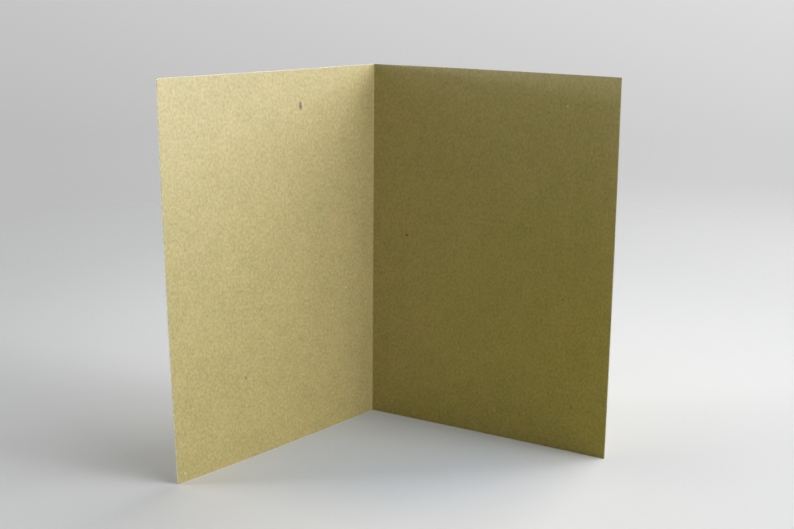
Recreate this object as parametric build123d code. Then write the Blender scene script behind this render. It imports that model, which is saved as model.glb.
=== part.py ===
from build123d import *
from dataclasses import dataclass
from math import atan, cos, degrees, radians, sin
import os

# A blank card: one sheet of kraft board, creased across its middle and stood open on its edge.
# The fold stands at the back and the opening faces -Y. The origin is the foot of the fold, half-way
# through the board. Sizes are in millimetres and angles in degrees.

# The sheet laid flat: A5, so that each panel is A6
sheet_length = 210.0
sheet_height = 148.0
board_thickness = 0.6
inside_fold_radius = 0.3

# How far each panel stands from the middle of the opening, and how much further at its head than at
# its foot
left_angle = 51.3
left_twist = 2.0
right_angle = 51.3
right_twist = -2.0

# The board's own curl: how far each panel bows into the opening at its foot and at its head, and how
# far its free edge bows out of the opening half-way up
left_bow_at_foot = 0.85
left_bow_at_head = 1.15
left_edge_bow = 0.75
right_bow_at_foot = -0.25
right_bow_at_head = -2.0
right_edge_bow = 0.65

panel_width = sheet_length / 2
middle_fold_radius = inside_fold_radius + board_thickness / 2
fold_centre = Vector(0, -middle_fold_radius, 0)


@dataclass
class Panel:
    """One half of the sheet, as it stands. Its side is -1 on the left and 1 on the right."""

    side: int
    angle: float
    twist: float
    bow_at_foot: float
    bow_at_head: float
    edge_bow: float

    def along(self, angle):
        """Direction in plan that runs away from the fold, this far from the middle of the opening."""
        return Vector(self.side * sin(radians(angle)), -cos(radians(angle)), 0)

    def outward(self, angle):
        """Direction square to that one, out of the card's back."""
        return Vector(self.side * cos(radians(angle)), sin(radians(angle)), 0)

    def angle_at(self, share):
        """Angle of the straight line from fold to free edge, at this share of the height."""
        swing = degrees(self.edge_bow / panel_width) * 4 * share * (1 - share)
        return self.angle + self.twist * (share - 0.5) + swing

    def bow_at(self, share):
        """Bow of the panel into the opening, at this share of the height."""
        return self.bow_at_foot + (self.bow_at_head - self.bow_at_foot) * share

    def line_at(self, share, offset):
        """One face of the panel in plan, from the fold to the free edge, offset from its middle.

        The line is a parabola that leaves the fold without a kink and keeps the flat sheet's length.
        """
        angle = self.angle_at(share)
        slope = degrees(atan(4 * self.bow_at(share) / panel_width))
        fold_angle = angle - slope
        flat_length = panel_width - middle_fold_radius * radians(90 - fold_angle)
        chord = flat_length * (1 - radians(slope) ** 2 / 6)
        mitre = 1 / cos(radians(slope))
        start = fold_centre + self.outward(fold_angle) * middle_fold_radius
        pull = start + self.along(fold_angle) * (chord / 2 * mitre)
        end = start + self.along(angle) * chord
        return Bezier(
            start + self.outward(fold_angle) * offset,
            pull + self.outward(angle) * (offset * mitre),
            end + self.outward(angle + slope) * offset,
        )


left_panel = Panel(-1, left_angle, left_twist, left_bow_at_foot, left_bow_at_head, left_edge_bow)
right_panel = Panel(1, right_angle, right_twist, right_bow_at_foot, right_bow_at_head, right_edge_bow)


def fold_arc(left_line, right_line, offset):
    """Round of the fold on one face of the board, between that face's two panel lines."""
    crown = fold_centre + Vector(0, middle_fold_radius + offset, 0)
    return ThreePointArc(left_line @ 0, crown, right_line @ 0)


def board_section(share):
    """The board cut level at this share of the height: two bowed panels and the fold between them."""
    back = board_thickness / 2
    front = -board_thickness / 2
    back_left = left_panel.line_at(share, back)
    back_right = right_panel.line_at(share, back)
    front_left = left_panel.line_at(share, front)
    front_right = right_panel.line_at(share, front)
    outline = [
        back_left,
        fold_arc(back_left, back_right, back),
        back_right,
        Line(back_right @ 1, front_right @ 1),
        front_right,
        fold_arc(front_left, front_right, front),
        front_left,
        Line(front_left @ 1, back_left @ 1),
    ]
    return Pos(0, 0, share * sheet_height) * make_face(outline)


def folded_card():
    """The folded sheet, carried from its foot through half its height to its head."""
    return loft([board_section(0), board_section(0.5), board_section(1)])


os.makedirs("parts", exist_ok=True)
export_step(folded_card(), "parts/folded_card.step")
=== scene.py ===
from math import atan, cos, pi, radians, sin

import bmesh
import bpy
from mathutils import Matrix, Vector


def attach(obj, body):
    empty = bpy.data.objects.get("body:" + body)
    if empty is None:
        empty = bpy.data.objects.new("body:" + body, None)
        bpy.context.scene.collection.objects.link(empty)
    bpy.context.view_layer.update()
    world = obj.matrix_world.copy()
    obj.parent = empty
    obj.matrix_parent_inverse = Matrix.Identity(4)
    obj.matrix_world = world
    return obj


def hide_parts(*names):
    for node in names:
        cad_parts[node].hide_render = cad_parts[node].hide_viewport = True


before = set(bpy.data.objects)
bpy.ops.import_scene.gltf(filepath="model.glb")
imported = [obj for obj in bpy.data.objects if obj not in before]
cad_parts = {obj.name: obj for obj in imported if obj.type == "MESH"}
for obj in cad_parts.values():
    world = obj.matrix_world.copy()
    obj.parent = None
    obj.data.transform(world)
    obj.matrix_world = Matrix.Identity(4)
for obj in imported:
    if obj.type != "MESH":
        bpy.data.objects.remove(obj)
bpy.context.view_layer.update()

# The board
# One sheet of kraft board, guillotined square and a little over half a millimetre thick. It starts
# here as a flat slab with its fold line on x = 0, its face towards -Y and its back towards +Y.
mm = 0.001
sheet_length = 210.0 * mm
sheet_height = 148.0 * mm
board_thickness = 0.6 * mm
arris_radius = 0.1 * mm

board = bmesh.new()
bmesh.ops.create_cube(board, size=1.0)
bmesh.ops.scale(board, vec=(sheet_length, board_thickness, sheet_height), verts=board.verts)
bmesh.ops.translate(board, vec=(0, 0, sheet_height / 2), verts=board.verts)
bmesh.ops.bevel(
    board,
    geom=board.edges[:],
    offset=arris_radius,
    offset_type="OFFSET",
    segments=3,
    profile=0.5,
    affect="EDGES",
    material=-1,
)


def score_across(place, direction):
    """Cuts every face of the board that this plane passes through, so that the board can bend there."""
    everything = board.verts[:] + board.edges[:] + board.faces[:]
    bmesh.ops.bisect_plane(board, geom=everything, plane_co=place, plane_no=direction)


sideways = (1, 0, 0)
upwards = (0, 0, 1)
panel_columns = 42
for column in range(1, panel_columns):
    across = sheet_length / 2 * column / panel_columns
    score_across((across, 0, 0), sideways)
    score_across((-across, 0, 0), sideways)
fold_scores = 7
fold_step = 0.08 * mm
for column in range(-fold_scores, fold_scores + 1):
    score_across((column * fold_step, 0, 0), sideways)
panel_rows = 48
for row in range(1, panel_rows):
    score_across((0, 0, sheet_height * row / panel_rows), upwards)

# A score close inside each edge ends the soft shading of the rounded arris there, so that the faces
# stay flat up to their edges.
margin = 0.25 * mm
for side in (-1, 1):
    score_across((side * (sheet_length / 2 - margin), 0, 0), sideways)
for height in (margin, sheet_height - margin):
    score_across((0, 0, height), upwards)

# The two faces and the cut edges each have their own place on the flat layout, in metres, so that
# the grain is the board's own size all over and the back doesn't repeat the front.
layout = board.loops.layers.uv.new("board_layout")
back_shift = 0.3
edge_shift = 0.6
face_limit = 0.75
for face in board.faces:
    facing = face.normal
    pressed = abs(facing.y) > face_limit
    for loop in face.loops:
        x, y, z = loop.vert.co
        if pressed:
            loop[layout].uv = (x + back_shift, z) if facing.y > 0 else (x, z)
        elif abs(facing.z) > abs(facing.x):
            loop[layout].uv = (x, z + y + edge_shift)
        else:
            loop[layout].uv = (x + y + edge_shift, z)
    face.material_index = 0 if pressed else 1
    face.smooth = True

# The fold and the panels
# The board is creased across its middle and stood open. Each panel keeps the board's own curl: it
# bows a little, twists between foot and head, and its free edge swings out half-way up.
inside_fold_radius = 0.3 * mm
fold_radius = inside_fold_radius + board_thickness / 2
fold_centre = Vector((0, -fold_radius, 0))
panel_width = sheet_length / 2
left_panel = {
    "angle": 51.3,
    "twist": 2.0,
    "foot_bow": 0.85 * mm,
    "head_bow": 1.15 * mm,
    "edge_bow": 0.75 * mm,
}
right_panel = {
    "angle": 51.3,
    "twist": -2.0,
    "foot_bow": -0.25 * mm,
    "head_bow": -2.0 * mm,
    "edge_bow": 0.65 * mm,
}


def along(side, angle):
    """Direction in plan away from the fold, this far from the middle of the opening."""
    return Vector((side * sin(angle), -cos(angle), 0))


def outward(side, angle):
    """Direction square to that one, out of the card's back."""
    return Vector((side * cos(angle), sin(angle), 0))


def folded_place(flat):
    """Where a point of the flat board stands on the folded card."""
    side = 1 if flat.x >= 0 else -1
    panel = right_panel if side == 1 else left_panel
    share = flat.z / sheet_height
    swing = panel["edge_bow"] / panel_width * 4 * share * (1 - share)
    angle = radians(panel["angle"] + panel["twist"] * (share - 0.5)) + swing
    bow = panel["foot_bow"] + (panel["head_bow"] - panel["foot_bow"]) * share
    slope = atan(4 * bow / panel_width)
    fold_angle = angle - slope
    fold_length = fold_radius * (pi / 2 - fold_angle)
    from_fold = abs(flat.x)
    up = Vector((0, 0, flat.z))
    if from_fold < fold_length:
        turned = outward(side, pi / 2 - from_fold / fold_radius)
        return fold_centre + turned * (fold_radius + flat.y) + up
    flat_length = panel_width - fold_length
    chord = flat_length * (1 - slope**2 / 6)
    start = fold_centre + outward(side, fold_angle) * fold_radius
    pull = start + along(side, fold_angle) * (chord / 2 / cos(slope))
    end = start + along(side, angle) * chord
    t = (from_fold - fold_length) / flat_length
    middle = start * (1 - t) ** 2 + pull * (2 * t * (1 - t)) + end * t**2
    return middle + outward(side, fold_angle + 2 * slope * t) * flat.y + up


for vertex in board.verts:
    vertex.co = folded_place(vertex.co)

card_mesh = bpy.data.meshes.new("card")
board.to_mesh(card_mesh)
board.free()
card = bpy.data.objects.new("card", card_mesh)
bpy.context.collection.objects.link(card)
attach(card, "root")
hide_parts("folded_card")

# Kraft board
# Unbleached pulp, pressed and lightly glazed. Its brown face has a fine mottled grain, cloudy patches
# and short fibres that run a little more upwards than across.


def math_node(tree, operation, *terms):
    """A Math node's result. Each term is a number or the socket that feeds it."""
    made = tree.nodes.new("ShaderNodeMath")
    made.operation = operation
    for socket, term in zip(made.inputs, terms):
        if isinstance(term, (int, float)):
            socket.default_value = term
        else:
            tree.links.new(term, socket)
    return made.outputs["Value"]


def noise(tree, place, size, detail, roughness):
    """Even noise with features of about this size, spread round 0."""
    made = tree.nodes.new("ShaderNodeTexNoise")
    made.noise_dimensions = "2D"
    made.inputs["Scale"].default_value = 1 / size
    made.inputs["Detail"].default_value = detail
    made.inputs["Roughness"].default_value = roughness
    tree.links.new(place, made.inputs["Vector"])
    return math_node(tree, "SUBTRACT", made.outputs["Fac"], 0.5)


def mapped(tree, place, scale, turn=0.0, shift=0.0):
    """The place on the layout, shifted, turned and scaled for one pattern."""
    made = tree.nodes.new("ShaderNodeMapping")
    made.inputs["Location"].default_value = (shift, shift, 0)
    made.inputs["Rotation"].default_value = (0, 0, radians(turn))
    made.inputs["Scale"].default_value = (*scale, 1)
    tree.links.new(place, made.inputs["Vector"])
    return made.outputs["Vector"]


def ranged(tree, value, low, high, smooth=False):
    """0 where the value is at low, 1 where it is at high."""
    made = tree.nodes.new("ShaderNodeMapRange")
    made.interpolation_type = "SMOOTHSTEP" if smooth else "LINEAR"
    made.inputs["From Min"].default_value = low
    made.inputs["From Max"].default_value = high
    tree.links.new(value, made.inputs["Value"])
    return made.outputs["Result"]


def mixed(tree, share, first, second, blend="MIX"):
    """One colour laid over another by a share. Each colour is a plain value or a socket."""
    made = tree.nodes.new("ShaderNodeMix")
    made.data_type = "RGBA"
    made.blend_type = blend
    for socket, term in ((made.inputs[0], share), (made.inputs[6], first), (made.inputs[7], second)):
        if isinstance(term, (int, float)):
            socket.default_value = term
        elif isinstance(term, tuple):
            socket.default_value = (*term, 1)
        else:
            tree.links.new(term, socket)
    return made.outputs[2]


grain = bpy.data.node_groups.new("kraft_grain", "ShaderNodeTree")
grain.interface.new_socket("Layout", in_out="INPUT", socket_type="NodeSocketVector")
for output in ("Tone", "Warmth", "Height"):
    grain.interface.new_socket(output, in_out="OUTPUT", socket_type="NodeSocketFloat")
grain_layout = grain.nodes.new("NodeGroupInput").outputs["Layout"]
grain_result = grain.nodes.new("NodeGroupOutput")

# Mottles, from clouds to single clumps of pulp, all drawn out a little upwards
pulp_stretch = (1.0, 0.8)
pulp = mapped(grain, grain_layout, pulp_stretch)
mottles = [
    {"size": 18 * mm, "detail": 2.0, "roughness": 0.5, "strength": 0.12},
    {"size": 4.0 * mm, "detail": 3.0, "roughness": 0.7, "strength": 0.30},
    {"size": 1.0 * mm, "detail": 2.5, "roughness": 0.75, "strength": 0.88},
]
tone = 1.0
for mottle in mottles:
    cloud = noise(grain, pulp, mottle["size"], mottle["detail"], mottle["roughness"])
    tone = math_node(grain, "MULTIPLY_ADD", cloud, mottle["strength"], tone)

# Fibres, pale or dark, that lie at four leans from upright
fibre_stretch = (7.0, 1.0)
fibre_length = 1.5 * mm
fibre_begins = 0.10
fibre_full = 0.22
fibres = [
    {"lean": 12, "strength": 0.16},
    {"lean": -21, "strength": -0.16},
    {"lean": 64, "strength": 0.10},
    {"lean": -73, "strength": -0.10},
]
for fibre in fibres:
    lain = mapped(grain, grain_layout, fibre_stretch, turn=fibre["lean"], shift=fibre["lean"] * mm)
    streak = ranged(grain, noise(grain, lain, fibre_length, 1.0, 0.5), fibre_begins, fibre_full)
    tone = math_node(grain, "MULTIPLY_ADD", streak, fibre["strength"], tone)
grain.links.new(tone, grain_result.inputs["Tone"])
grain.links.new(tone, grain_result.inputs["Height"])
warm_patch = 9 * mm
grain.links.new(noise(grain, pulp, warm_patch, 2.0, 0.5), grain_result.inputs["Warmth"])


def board_material(name):
    """A material with the board's own layout and grain, and its Principled shader."""
    made = bpy.data.materials.new(name)
    made.use_nodes = True
    tree = made.node_tree
    layout_node = tree.nodes.new("ShaderNodeUVMap")
    layout_node.uv_map = "board_layout"
    grain_node = tree.nodes.new("ShaderNodeGroup")
    grain_node.node_tree = grain
    tree.links.new(layout_node.outputs["UV"], grain_node.inputs["Layout"])
    card_mesh.materials.append(made)
    return tree, layout_node.outputs["UV"], grain_node.outputs, tree.nodes["Principled BSDF"]


# The pressed face: two close browns in patches, darkened and paled by the grain. The swing is how far
# red, green and blue each follow the grain, so that a darker fleck is also a browner one.
kraft_warm = (0.362, 0.286, 0.112)
kraft_green = (0.338, 0.282, 0.104)
patch_contrast = 2.0
tone_swing = (0.95, 1.0, 1.45)
kraft, kraft_layout, kraft_grain, kraft_shader = board_material("kraft_face")
warm_share = math_node(kraft, "MULTIPLY_ADD", kraft_grain["Warmth"], patch_contrast, 0.5)
kraft_colour = mixed(kraft, warm_share, kraft_green, kraft_warm)
fleck = kraft.nodes.new("ShaderNodeVectorMath")
fleck.operation = "MULTIPLY_ADD"
fleck.inputs[1].default_value = tone_swing
fleck.inputs[2].default_value = [1 - swing for swing in tone_swing]
kraft.links.new(kraft_grain["Tone"], fleck.inputs[0])
kraft_colour = mixed(kraft, 1.0, kraft_colour, fleck.outputs["Vector"], blend="MULTIPLY")

# Specks in the pulp
# Bark, shive and undyed fibre that the pulp still held when it was pressed. The larger ones lie where
# they are seen on the inside of the card, and finer ones are sprinkled over the whole board.
speck_colours = {"dark": (0.060, 0.028, 0.008), "light": (0.78, 0.72, 0.50)}

# Across from the fold, up from the foot, width, height (all in mm), lean in degrees, and strength
seen_specks = {
    "dark": [
        (-40.84, 134.08, 0.72, 1.60, -8, 1.0),
        (15.92, 79.09, 0.58, 0.50, 0, 0.95),
        (90.60, 18.42, 0.42, 0.40, 0, 0.7),
        (28.77, 5.98, 0.40, 0.36, 0, 0.6),
        (55.75, 121.29, 0.42, 0.34, 20, 0.6),
        (57.87, 89.25, 0.36, 0.32, 0, 0.5),
        (-57.79, 108.35, 0.28, 0.55, 5, 0.4),
        (-101.58, 103.62, 0.30, 0.36, 0, 0.4),
        (-71.20, 32.67, 0.46, 0.62, 10, 0.7),
        (-30.78, 73.71, 0.38, 0.52, -20, 0.6),
        (-8.14, 27.70, 0.46, 0.44, 0, 0.55),
        (-25.42, 5.28, 0.62, 0.36, 15, 0.45),
        (-74.79, 29.57, 0.40, 0.34, 0, 0.45),
        (-18.63, 127.32, 0.34, 0.40, 0, 0.4),
        (85.22, 61.62, 0.50, 0.40, -10, 0.7),
        (33.06, 54.34, 0.36, 0.36, 0, 0.5),
        (56.07, 50.60, 0.34, 0.38, 0, 0.5),
        (49.86, 95.19, 0.34, 0.34, 0, 0.4),
    ],
    "light": [
        (-16.59, 58.18, 0.40, 0.36, 0, 0.6),
        (61.53, 121.82, 0.36, 0.34, 0, 0.4),
        (84.08, 136.19, 0.46, 0.40, 0, 0.6),
        (94.00, 105.72, 0.34, 0.32, 0, 0.5),
        (58.46, 90.96, 0.34, 0.30, 0, 0.4),
        (-101.59, 3.31, 0.40, 0.34, 0, 0.5),
    ],
}

# The mask of one speck, on a layout where it is a round of radius 1. Noise makes its rim ragged, and
# it thins out between speck_solid and speck_gone.
ragged_size = 0.9
ragged_reach = 1.1
speck_solid = 0.7
speck_gone = 1.15
speck = bpy.data.node_groups.new("kraft_speck", "ShaderNodeTree")
speck.interface.new_socket("Layout", in_out="INPUT", socket_type="NodeSocketVector")
speck.interface.new_socket("Strength", in_out="INPUT", socket_type="NodeSocketFloat")
speck.interface.new_socket("Mask", in_out="OUTPUT", socket_type="NodeSocketFloat")
speck_input = speck.nodes.new("NodeGroupInput")
speck_result = speck.nodes.new("NodeGroupOutput")
from_middle = speck.nodes.new("ShaderNodeVectorMath")
from_middle.operation = "LENGTH"
speck.links.new(speck_input.outputs["Layout"], from_middle.inputs[0])
ragged_place = mapped(speck, speck_input.outputs["Layout"], (1.0, 1.0), shift=0.37)
ragged = noise(speck, ragged_place, ragged_size, 2.0, 0.6)
speck_edge = math_node(speck, "MULTIPLY_ADD", ragged, ragged_reach, from_middle.outputs["Value"])
speck_fading = ranged(speck, speck_edge, speck_solid, speck_gone, smooth=True)
speck_mask = math_node(speck, "SUBTRACT", 1.0, speck_fading)
speck_mask = math_node(speck, "MULTIPLY", speck_mask, speck_input.outputs["Strength"])
speck.links.new(speck_mask, speck_result.inputs["Mask"])

for shade, marks in seen_specks.items():
    for across, up, wide, tall, lean, strength in marks:
        moved = kraft.nodes.new("ShaderNodeVectorMath")
        moved.operation = "SUBTRACT"
        moved.inputs[1].default_value = (across * mm, up * mm, 0)
        kraft.links.new(kraft_layout, moved.inputs[0])
        turned = mapped(kraft, moved.outputs["Vector"], (1.0, 1.0), turn=lean)
        sized = mapped(kraft, turned, (1 / (wide * mm), 1 / (tall * mm)))
        placed = kraft.nodes.new("ShaderNodeGroup")
        placed.node_tree = speck
        placed.inputs["Strength"].default_value = strength
        kraft.links.new(sized, placed.inputs["Layout"])
        kraft_colour = mixed(kraft, placed.outputs["Mask"], kraft_colour, speck_colours[shade])

# The sprinkled specks sit in the cells of a Voronoi pattern, in this share of them. Their radius is in
# cells, and they thin out over sprinkle_rim.
sprinkle_stretch = (1.0, 0.75)
sprinkle_rim = 0.02
sprinkled_specks = [
    {"spacing": 5.5 * mm, "radius": 0.060, "share": 0.34, "shift": 0.0, "shade": "dark", "strength": 0.38},
    {"spacing": 4.5 * mm, "radius": 0.055, "share": 0.28, "shift": 0.4, "shade": "light", "strength": 0.28},
]
for sprinkle in sprinkled_specks:
    cells = kraft.nodes.new("ShaderNodeTexVoronoi")
    cells.voronoi_dimensions = "2D"
    cells.inputs["Scale"].default_value = 1 / sprinkle["spacing"]
    cell_place = mapped(kraft, kraft_layout, sprinkle_stretch, shift=sprinkle["shift"])
    kraft.links.new(cell_place, cells.inputs["Vector"])
    chance = kraft.nodes.new("ShaderNodeSeparateColor")
    kraft.links.new(cells.outputs["Color"], chance.inputs["Color"])
    reach = ranged(kraft, chance.outputs["Red"], 1 - sprinkle["share"], 1.0)
    reach = math_node(kraft, "MULTIPLY", reach, sprinkle["radius"])
    inside = math_node(kraft, "SUBTRACT", reach, cells.outputs["Distance"])
    inside = ranged(kraft, inside, 0.0, sprinkle_rim)
    inside = math_node(kraft, "MULTIPLY", inside, sprinkle["strength"])
    kraft_colour = mixed(kraft, inside, kraft_colour, speck_colours[sprinkle["shade"]])

# The glaze is a soft clear coat. It is a little glossier where the pulp stands up.
kraft_roughness = 0.62
polished_pulp = -0.10
kraft_relief_height = 0.006 * mm
kraft.links.new(kraft_colour, kraft_shader.inputs["Base Color"])
kraft_gloss = math_node(kraft, "MULTIPLY_ADD", kraft_grain["Tone"], polished_pulp, kraft_roughness)
kraft.links.new(kraft_gloss, kraft_shader.inputs["Roughness"])
kraft_shader.inputs["Specular IOR Level"].default_value = 1.0
kraft_shader.inputs["Coat Weight"].default_value = 1.0
kraft_shader.inputs["Coat Roughness"].default_value = 0.42
kraft_relief = kraft.nodes.new("ShaderNodeBump")
kraft_relief.inputs["Strength"].default_value = 0.5
kraft_relief.inputs["Distance"].default_value = kraft_relief_height
kraft.links.new(kraft_grain["Height"], kraft_relief.inputs["Height"])
kraft.links.new(kraft_relief.outputs["Normal"], kraft_shader.inputs["Normal"])

# Cut edges
# Where the blade went through, the pressed face ends and the paler pulp of the middle shows, lightly
# burnished by the knife. The right-hand free edge is painted dark instead, as painted shade.
pulp_core = (0.86, 0.85, 0.80)
right_edge_painted_shade = (0.14, 0.13, 0.075)
burnished_roughness = 0.5
right_edge_roughness = 1.0
cut_relief_height = 0.03 * mm
cut, cut_layout, cut_grain, cut_shader = board_material("kraft_cut_edge")
cut_place = cut.nodes.new("ShaderNodeSeparateXYZ")
cut.links.new(cut_layout, cut_place.inputs["Vector"])

# Of the four cut edges, only the right-hand free one lies past edge_shift on the layout
# That edge's dark colour is painted shade, and its full roughness keeps it from showing a glint.
shaded_right_edge = ranged(cut, cut_place.outputs["X"], edge_shift, edge_shift + sheet_length / 4)
cut_colour = mixed(cut, shaded_right_edge, pulp_core, right_edge_painted_shade)
cut_colour = mixed(cut, 1.0, cut_colour, cut_grain["Tone"], blend="MULTIPLY")
cut.links.new(cut_colour, cut_shader.inputs["Base Color"])
right_edge_rougher = right_edge_roughness - burnished_roughness
cut_roughness = math_node(cut, "MULTIPLY_ADD", shaded_right_edge, right_edge_rougher, burnished_roughness)
cut.links.new(cut_roughness, cut_shader.inputs["Roughness"])
cut_shader.inputs["Specular IOR Level"].default_value = 1.0
cut_relief = cut.nodes.new("ShaderNodeBump")
cut_relief.inputs["Strength"].default_value = 0.6
cut_relief.inputs["Distance"].default_value = cut_relief_height
cut.links.new(cut_grain["Height"], cut_relief.inputs["Height"])
cut.links.new(cut_relief.outputs["Normal"], cut_shader.inputs["Normal"])

# The floor
# A wide sheet of pale grey paper that catches the card's shadow. The light that it sends back to the
# card is warm. The camera sees it neutral and fading into the backdrop, with a painted cool tint inside
# the opening that offsets the warm light bounced there from the card.
floor_radius = 4.0
floor_bm = bmesh.new()
bmesh.ops.create_circle(floor_bm, cap_ends=True, segments=96, radius=floor_radius)
floor_mesh = bpy.data.meshes.new("floor")
floor_bm.to_mesh(floor_mesh)
floor_bm.free()
floor = bpy.data.objects.new("floor", floor_mesh)
bpy.context.collection.objects.link(floor)

paper_bounce = (0.56, 0.54, 0.10)
# Painted cool, slightly darker tone inside the opening, offsetting the warm light the kraft bounces there
paper_painted_cool_inside = (0.775, 0.822, 0.905)
paper_near = (0.88, 0.88, 0.875)
paper_far = (0.78, 0.78, 0.775)
paper = bpy.data.materials.new("pale_paper")
paper.use_nodes = True
floor_mesh.materials.append(paper)
paper_tree = paper.node_tree
paper_shader = paper_tree.nodes["Principled BSDF"]
paper_shader.inputs["Roughness"].default_value = 0.9
paper_shader.inputs["Specular IOR Level"].default_value = 0.0
floor_place = paper_tree.nodes.new("ShaderNodeTexCoord").outputs["Object"]
seen_by = paper_tree.nodes.new("ShaderNodeLightPath")

# The painted cool tint lies inside the opening: near its middle, and not past the line of the panels,
# which is at this slope
inside_centre = (0.005, -0.035, 0)
inside_start = 0.035
inside_end = 0.095
opening_slope = 1.25
behind_start = 0.002
behind_end = 0.012
from_inside = paper_tree.nodes.new("ShaderNodeVectorMath")
from_inside.operation = "DISTANCE"
from_inside.inputs[1].default_value = inside_centre
paper_tree.links.new(floor_place, from_inside.inputs[0])
outside = ranged(paper_tree, from_inside.outputs["Value"], inside_start, inside_end, smooth=True)
floor_parts = paper_tree.nodes.new("ShaderNodeSeparateXYZ")
paper_tree.links.new(floor_place, floor_parts.inputs["Vector"])
off_middle = math_node(paper_tree, "ABSOLUTE", floor_parts.outputs["X"])
behind_panel = math_node(paper_tree, "MULTIPLY_ADD", floor_parts.outputs["Y"], opening_slope, off_middle)
behind_panel = ranged(paper_tree, behind_panel, behind_start, behind_end, smooth=True)
outside = math_node(paper_tree, "MAXIMUM", outside, behind_panel)
paper_seen = mixed(paper_tree, outside, paper_painted_cool_inside, paper_near)

# Further out: a darker tone first, and then the paper fades away
far_start = 0.12
far_end = 0.36
fade_start = 0.14
fade_end = 0.72
floor_distance = paper_tree.nodes.new("ShaderNodeVectorMath")
floor_distance.operation = "LENGTH"
paper_tree.links.new(floor_place, floor_distance.inputs[0])
how_far = ranged(paper_tree, floor_distance.outputs["Value"], far_start, far_end, smooth=True)
paper_seen = mixed(paper_tree, how_far, paper_seen, paper_far)
paper_colour = mixed(paper_tree, seen_by.outputs["Is Camera Ray"], paper_bounce, paper_seen)
paper_tree.links.new(paper_colour, paper_shader.inputs["Base Color"])
faded = ranged(paper_tree, floor_distance.outputs["Value"], fade_start, fade_end, smooth=True)
faded = math_node(paper_tree, "MULTIPLY", faded, seen_by.outputs["Is Camera Ray"])
clear = paper_tree.nodes.new("ShaderNodeBsdfTransparent")
fade = paper_tree.nodes.new("ShaderNodeMixShader")
paper_tree.links.new(faded, fade.inputs["Fac"])
paper_tree.links.new(paper_shader.outputs["BSDF"], fade.inputs[1])
paper_tree.links.new(clear.outputs["BSDF"], fade.inputs[2])
paper_tree.links.new(fade.outputs["Shader"], paper_tree.nodes["Material Output"].inputs["Surface"])

# The room
# A little even light from all round. The camera and reflections see a plain grey backdrop in its
# place, which is paler to the right and higher up, and which reflections see a little brighter.
room_light = 0.01
backdrop_left = (0.50, 0.50, 0.50)
backdrop_right = (0.64, 0.64, 0.64)
backdrop_rise = 1.15
backdrop_sheen = 1.3

# Where the two changes of tone begin and end, as parts of a direction of length 1 from the card
backdrop_across = (-0.16, 0.44)
backdrop_upwards = (-0.13, 0.0)
room = bpy.data.worlds.new("room")
room.use_nodes = True
bpy.context.scene.world = room
room_tree = room.node_tree
room_glow = room_tree.nodes["Background"]
room_glow.inputs["Color"].default_value = (1, 1, 1, 1)
room_glow.inputs["Strength"].default_value = room_light
looking = room_tree.nodes.new("ShaderNodeTexCoord")
looking_part = room_tree.nodes.new("ShaderNodeSeparateXYZ")
room_tree.links.new(looking.outputs["Generated"], looking_part.inputs["Vector"])
to_right = ranged(room_tree, looking_part.outputs["X"], *backdrop_across)
higher_up = ranged(room_tree, looking_part.outputs["Z"], *backdrop_upwards)
backdrop = room_tree.nodes.new("ShaderNodeBackground")
backdrop_colour = mixed(room_tree, to_right, backdrop_left, backdrop_right)
room_tree.links.new(backdrop_colour, backdrop.inputs["Color"])
seen_in_room = room_tree.nodes.new("ShaderNodeLightPath").outputs
backdrop_level = math_node(room_tree, "MULTIPLY_ADD", higher_up, backdrop_rise - 1, 1.0)
sheen_level = math_node(room_tree, "MULTIPLY_ADD", seen_in_room["Is Glossy Ray"], backdrop_sheen - 1, 1.0)
backdrop_level = math_node(room_tree, "MULTIPLY", backdrop_level, sheen_level)
room_tree.links.new(backdrop_level, backdrop.inputs["Strength"])
room_mix = room_tree.nodes.new("ShaderNodeMixShader")
backdrop_shown = math_node(
    room_tree, "MAXIMUM", seen_in_room["Is Camera Ray"], seen_in_room["Is Glossy Ray"]
)
room_tree.links.new(backdrop_shown, room_mix.inputs["Fac"])
room_tree.links.new(room_glow.outputs["Background"], room_mix.inputs[1])
room_tree.links.new(backdrop.outputs["Background"], room_mix.inputs[2])
room_tree.links.new(room_mix.outputs["Shader"], room_tree.nodes["World Output"].inputs["Surface"])

# The lamps
# Soft rectangular lamps, all as far from the card. A wide window stands at the right, with two smaller
# ones in front of it, one fill behind it and one above. Weaker fills stand on the left and overhead.
lamp_distance = 1.4
lamp_aim = Vector((0, -0.03, 0.07))

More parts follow.
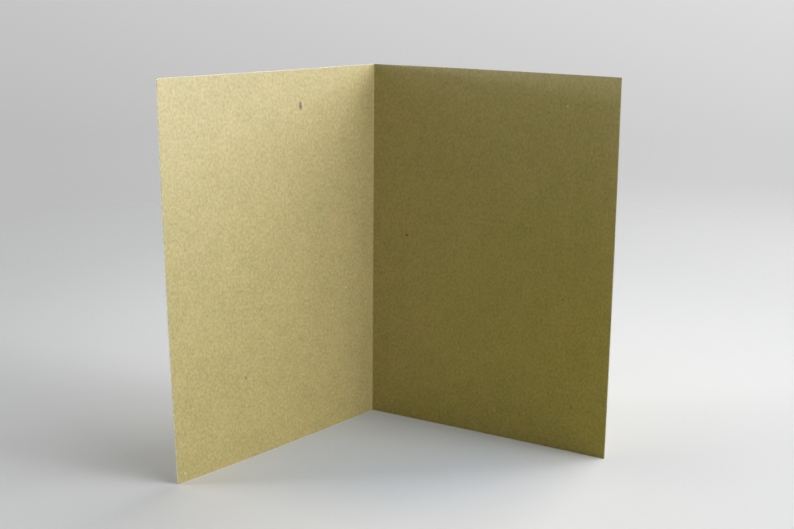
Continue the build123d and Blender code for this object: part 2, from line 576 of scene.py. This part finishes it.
# Bearing from +X towards +Y and rise, in degrees, size in metres, and the light on what faces the lamp
lamps = [
    {"name": "window", "bearing": -4.5, "rise": 24, "wide": 1.40, "tall": 0.56, "level": 0.76},
    {"name": "low_window", "bearing": -45, "rise": 8, "wide": 0.75, "tall": 0.30, "level": 0.60},
    {"name": "mid_window", "bearing": -27, "rise": 22, "wide": 0.50, "tall": 0.50, "level": 0.18},
    {"name": "right_fill", "bearing": 40, "rise": 20, "wide": 0.50, "tall": 0.40, "level": 0.32},
    {"name": "high_fill", "bearing": 12, "rise": 41, "wide": 0.50, "tall": 0.30, "level": 0.10},
    {"name": "back_fill", "bearing": 164, "rise": 16, "wide": 0.90, "tall": 0.40, "level": 0.16},
    {"name": "high_back_fill", "bearing": 165, "rise": 34, "wide": 0.70, "tall": 0.30, "level": 0.10},
    {"name": "left_fill", "bearing": 177, "rise": 5, "wide": 0.28, "tall": 0.12, "level": 0.28},
    {"name": "skylight", "bearing": 0, "rise": 90, "wide": 0.50, "tall": 0.50, "level": 0.07},
]
lamp_tints = {"skylight": (0.85, 0.97, 1.15)}
for lamp in lamps:
    bearing = radians(lamp["bearing"])
    rise = radians(lamp["rise"])
    towards = Vector((cos(bearing) * cos(rise), sin(bearing) * cos(rise), sin(rise)))
    lamp_data = bpy.data.lights.new(lamp["name"], "AREA")
    lamp_data.shape = "RECTANGLE"
    lamp_data.size = lamp["wide"]
    lamp_data.size_y = lamp["tall"]
    lamp_data.energy = lamp["level"] * pi**2 * lamp_distance**2
    lamp_data.color = lamp_tints.get(lamp["name"], (1, 1, 1))
    lamp_object = bpy.data.objects.new(lamp["name"], lamp_data)
    lamp_object.location = lamp_aim + towards * lamp_distance
    lamp_object.rotation_euler = (-towards).to_track_quat("-Z", "Y").to_euler()
    bpy.context.collection.objects.link(lamp_object)

# The camera
# It stands to the left of the opening's middle, above the head of the card, and looks down on it. It
# turns right, tips down and leans by small angles, in degrees.
camera_place = (-62.5 * mm, -475.0 * mm, 183.3 * mm)
camera_turn = -8.705
camera_tip = -13.896
camera_lean = 0.573
camera_data = bpy.data.cameras.new("camera")
camera_data.lens = 53.289
camera = bpy.data.objects.new("camera", camera_data)
camera.matrix_world = (
    Matrix.Translation(camera_place)
    @ Matrix.Rotation(radians(camera_turn), 4, "Z")
    @ Matrix.Rotation(radians(90 + camera_tip), 4, "X")
    @ Matrix.Rotation(radians(camera_lean), 4, "Z")
)
bpy.context.collection.objects.link(camera)
bpy.context.scene.camera = camera
bpy.context.scene.view_settings.view_transform = "Standard"
